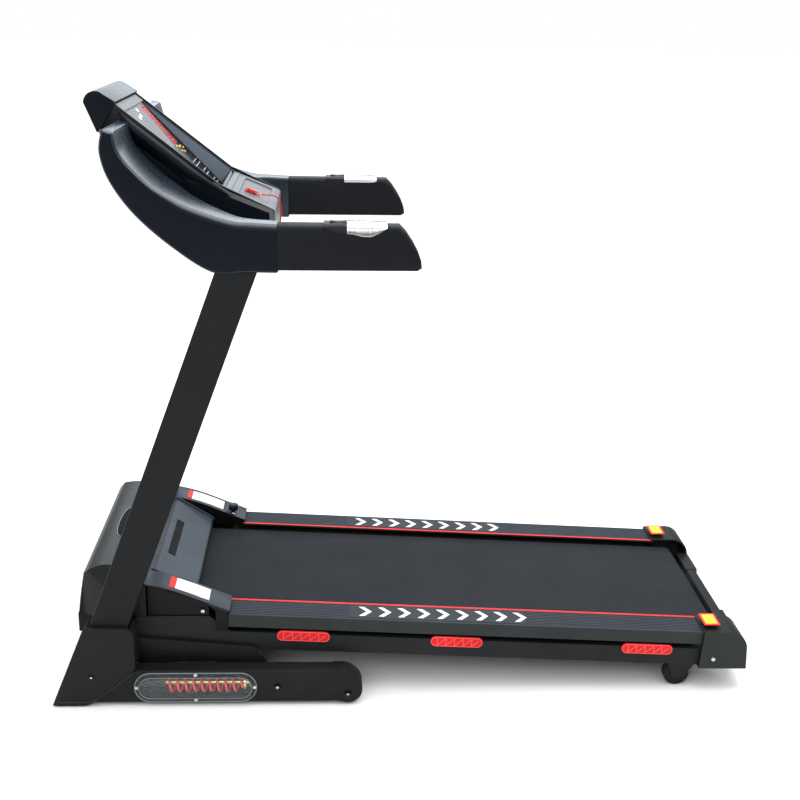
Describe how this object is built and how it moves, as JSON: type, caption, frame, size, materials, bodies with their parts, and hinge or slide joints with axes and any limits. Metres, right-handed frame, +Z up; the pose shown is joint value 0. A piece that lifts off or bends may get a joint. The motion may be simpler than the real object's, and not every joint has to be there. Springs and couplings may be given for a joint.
{
  "type": "folding motorised treadmill",
  "caption": "Motorised running deck on a lifting, folding frame, with two leaning uprights that carry swept arms, hand grips and a sloping console.",
  "frame": {"origin": "on the floor under the middle of the bounding box, with the deck down and the lift at its lowest", "axes": "+X from the console towards the rear of the belt, +Y towards the user's right hand, +Z up"},
  "size_m": [1.595, 0.723, 1.3303],
  "materials": {
    "frame_paint": "satin powder coat",
    "lift_paint": "satin powder coat",
    "cover_plastic": "fine grain",
    "clear_window": "clear moulding",
    "arm_plastic": "satin moulding",
    "handle_foam": "soft touch",
    "hood_plastic": "satin moulding",
    "wing_plastic": "satin moulding",
    "foot_rubber": "moulded",
    "wheel_rubber": "moulded",
    "zinc": "bright zinc",
    "damper_body": "gloss paint",
    "damper_rod": "yellow zinc",
    "spring_red": "gloss paint",
    "lift_drive": "cast housing, plain",
    "lift_thread": "machined",
    "board": "waxed laminate",
    "belt": "fine diamond weave",
    "roller_steel": "turned",
    "rail_plastic": "ribbed",
    "stripe_red": "smooth",
    "pad_red": "moulded",
    "motor_body": "satin paint",
    "motor_steel": "turned",
    "drive_rubber": "ribbed",
    "controller_case": "extruded",
    "inlet_plastic": "smooth",
    "knob_plastic": "moulded",
    "pulse_chrome": "polished",
    "rocker_plastic": "smooth",
    "console_panel": "display window and membrane keys",
    "circuit_board": "solder mask",
    "tray_plastic": "silver moulding",
    "console_cap": "light grey moulding",
    "key_red": "smooth",
    "cord_red": "braided"
  },
  "bodies": {
    "base": {"base_tube_left": "frame_paint", "base_tube_right": "frame_paint", "base_cross_tubes": "frame_paint", "base_covers": "cover_plastic", "front_feet": "foot_rubber", "upright_left": "frame_paint", "upright_right": "frame_paint", "window_covers": "clear_window", "damper_cylinders": "damper_body", "coil_springs": "spring_red", "base_fasteners": "zinc", "arm_left": "arm_plastic", "arm_right": "arm_plastic", "handles": "handle_foam", "pulse_plates": "pulse_chrome", "console_shell": "arm_plastic", "console_hood": "console_cap", "console_face": "console_panel", "console_tray": "tray_plastic", "control_board": "circuit_board"},
    "lift_frame": {"lift_arm_left": "lift_paint", "lift_arm_right": "lift_paint", "lift_cross_tubes": "lift_paint"},
    "hinge_shaft": {"hinge_shaft": "lift_paint"},
    "deck": {"deck_tube_left": "frame_paint", "deck_tube_right": "frame_paint", "deck_cross_members": "frame_paint", "deck_board": "board", "running_belt": "belt", "side_rail_left": "rail_plastic", "side_rail_right": "rail_plastic", "rail_stripes": "stripe_red", "cushion_pads": "pad_red", "end_caps": "cover_plastic", "motor_pan": "cover_plastic", "motor_hood": "hood_plastic", "wings": "wing_plastic", "drive_motor": "motor_body", "drive_belt": "drive_rubber", "motor_controller": "controller_case", "power_inlet": "inlet_plastic"},
    "damper_rods": {"damper_rods": "damper_rod"},
    "lift_motor": {"lift_motor": "lift_drive"},
    "lift_screw": {"lift_screw": "lift_thread"},
    "strut_cylinder": {"strut_cylinder": "damper_body"},
    "strut_rod": {"strut_rod": "damper_rod"},
    "transport_wheel_left": {"transport_wheel_left": "wheel_rubber"},
    "transport_wheel_right": {"transport_wheel_right": "wheel_rubber"},
    "caster_wheel_left": {"caster_wheel_left": "wheel_rubber"},
    "caster_wheel_right": {"caster_wheel_right": "wheel_rubber"},
    "front_roller": {"front_roller": "roller_steel"},
    "rear_roller": {"rear_roller": "roller_steel"},
    "motor_rotor": {"motor_pulley": "motor_steel"},
    "latch_knob": {"latch_knob": "knob_plastic"},
    "power_switch": {"power_switch": "inlet_plastic"},
    "speed_rocker": {"speed_rocker": "rocker_plastic"},
    "incline_rocker": {"incline_rocker": "rocker_plastic"},
    "safety_key": {"safety_key": "key_red", "safety_clip": "key_red", "safety_cord": "cord_red"}
  },
  "joints": [
    {"name": "lift", "type": "hinge", "parent": "base", "child": "lift_frame", "pos_m": [-0.345, 0, 0.024], "axis": [0, 1, 0], "range_deg": [0, 16]},
    {"name": "deck_level", "type": "hinge", "parent": "lift_frame", "child": "hinge_shaft", "pos_m": [-0.65, 0, 0.13], "axis": [0, 1, 0], "range_deg": [-12.6, 0]},
    {"name": "deck_fold", "type": "hinge", "parent": "hinge_shaft", "child": "deck", "pos_m": [-0.65, 0, 0.13], "axis": [0, -1, 0], "range_deg": [0, 62]},
    {"name": "damper_rod_slide", "type": "slide", "parent": "base", "child": "damper_rods", "axis": [1, 0, 0], "range_m": [0, 0.007], "deforming": ["coil_springs"]},
    {"name": "lift_motor_swing", "type": "hinge", "parent": "lift_frame", "child": "lift_motor", "pos_m": [-0.577, 0, 0.059], "axis": [0, 1, 0], "range_deg": [-2.5, 0]},
    {"name": "lift_screw_slide", "type": "slide", "parent": "lift_motor", "child": "lift_screw", "axis": [0.998, 0, 0.0631], "range_m": [-0.016, 0]},
    {"name": "strut_swing", "type": "hinge", "parent": "hinge_shaft", "child": "strut_cylinder", "pos_m": [-0.59, 0.236, 0.1], "axis": [0, -1, 0], "range_deg": [0, 68]},
    {"name": "strut_slide", "type": "slide", "parent": "strut_cylinder", "child": "strut_rod", "axis": [1, 0, 0], "range_m": [0, 0.061]},
    {"name": "transport_wheel_left_spin", "type": "hinge", "parent": "base", "child": "transport_wheel_left", "pos_m": [-0.136, -0.335, 0.027], "axis": [0, 1, 0], "continuous": true},
    {"name": "transport_wheel_right_spin", "type": "hinge", "parent": "base", "child": "transport_wheel_right", "pos_m": [-0.136, 0.335, 0.027], "axis": [0, 1, 0], "continuous": true},
    {"name": "caster_wheel_left_spin", "type": "hinge", "parent": "deck", "child": "caster_wheel_left", "pos_m": [0.64, -0.268, 0.0305], "axis": [0, 1, 0], "continuous": true},
    {"name": "caster_wheel_right_spin", "type": "hinge", "parent": "deck", "child": "caster_wheel_right", "pos_m": [0.64, 0.268, 0.0305], "axis": [0, 1, 0], "continuous": true},
    {"name": "front_roller_spin", "type": "hinge", "parent": "deck", "child": "front_roller", "pos_m": [-0.53322, 0, 0.16066], "axis": [0, 1, 0], "continuous": true},
    {"name": "rear_roller_spin", "type": "hinge", "parent": "deck", "child": "rear_roller", "pos_m": [0.7265, 0, 0.10372], "axis": [0, 1, 0], "continuous": true},
    {"name": "motor_spin", "type": "hinge", "parent": "deck", "child": "motor_rotor", "pos_m": [-0.64, -0.1, 0.208], "axis": [0, 1, 0], "continuous": true},
    {"name": "latch_knob_pull", "type": "slide", "parent": "deck", "child": "latch_knob", "axis": [0, 0, 1], "range_m": [0, 0.01], "stiffness_N_per_m": 600},
    {"name": "power_switch_rock", "type": "hinge", "parent": "deck", "child": "power_switch", "pos_m": [-0.7475, 0.095, 0.156], "axis": [0, 1, 0], "range_deg": [0, 12]},
    {"name": "speed_rocker_tilt", "type": "hinge", "parent": "base", "child": "speed_rocker", "pos_m": [-0.168, 0.3285, 1.094], "axis": [0, 1, 0], "range_deg": [-3, 3], "stiffness_Nm_per_rad": 0.4},
    {"name": "incline_rocker_tilt", "type": "hinge", "parent": "base", "child": "incline_rocker", "pos_m": [-0.168, -0.3285, 1.094], "axis": [0, 1, 0], "range_deg": [-3, 3], "stiffness_Nm_per_rad": 0.4},
    {"name": "safety_key_pull", "type": "slide", "parent": "base", "child": "safety_key", "axis": [1, 0, 0], "range_m": [0, 0.012]}
  ],
  "couplings": [
    {"joint": "deck_level", "follows": "lift", "ratio": -0.7773},
    {"joint": "damper_rod_slide", "follows": "lift", "m_per_rad": 0.0237},
    {"joint": "lift_motor_swing", "follows": "lift", "ratio": -0.132},
    {"joint": "lift_screw_slide", "follows": "lift", "m_per_rad": -0.0537},
    {"joint": "strut_swing", "follows": "deck_fold", "ratio": 1.0857},
    {"joint": "strut_slide", "follows": "deck_fold", "m_per_rad": 0.0555},
    {"joint": "rear_roller_spin", "follows": "front_roller_spin", "ratio": 1},
    {"joint": "motor_spin", "follows": "front_roller_spin", "ratio": 1.6667}
  ]
}
